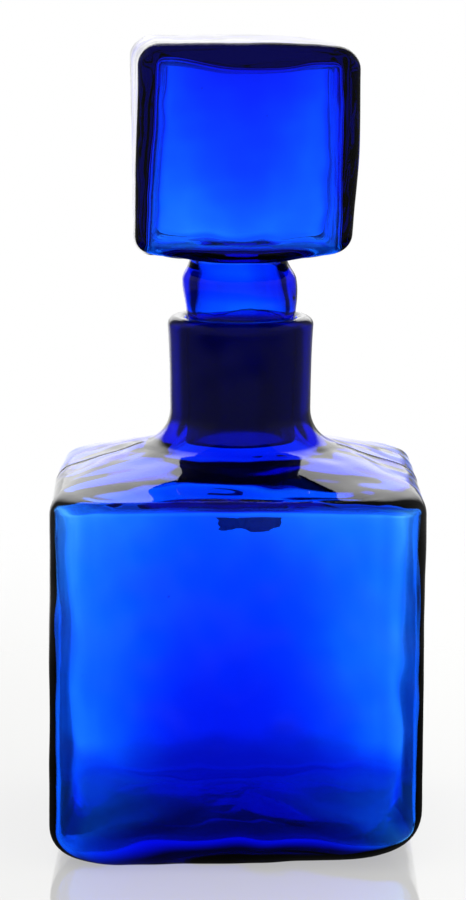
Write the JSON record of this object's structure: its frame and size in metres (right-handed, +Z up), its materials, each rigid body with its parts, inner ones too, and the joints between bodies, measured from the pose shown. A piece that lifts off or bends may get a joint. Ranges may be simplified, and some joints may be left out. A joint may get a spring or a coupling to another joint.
{
  "type": "stoppered glass decanter",
  "caption": "Square cobalt blue blown glass decanter with a hipped shoulder, a thick round neck and a hollow cube stopper that lifts out.",
  "frame": {"origin": "middle of the base, on the surface that the bottle stands on", "axes": "+Z up along the neck, the front wall faces -Y, the label is on the +Y wall"},
  "size_m": [0.108, 0.1082, 0.2365],
  "materials": {
    "bottle_glass": "fire polished cobalt blue glass",
    "stopper_glass": "fire polished cobalt blue glass",
    "label_paper": "blank matt paper"
  },
  "bodies": {
    "bottle": {"bottle": "bottle_glass", "label": "label_paper"},
    "stopper": {"stopper": "stopper_glass"}
  },
  "joints": [
    {"name": "stopper_lift", "type": "slide", "parent": "bottle", "child": "stopper", "axis": [0, 0, 1], "range_m": [0, 0.075]}
  ]
}
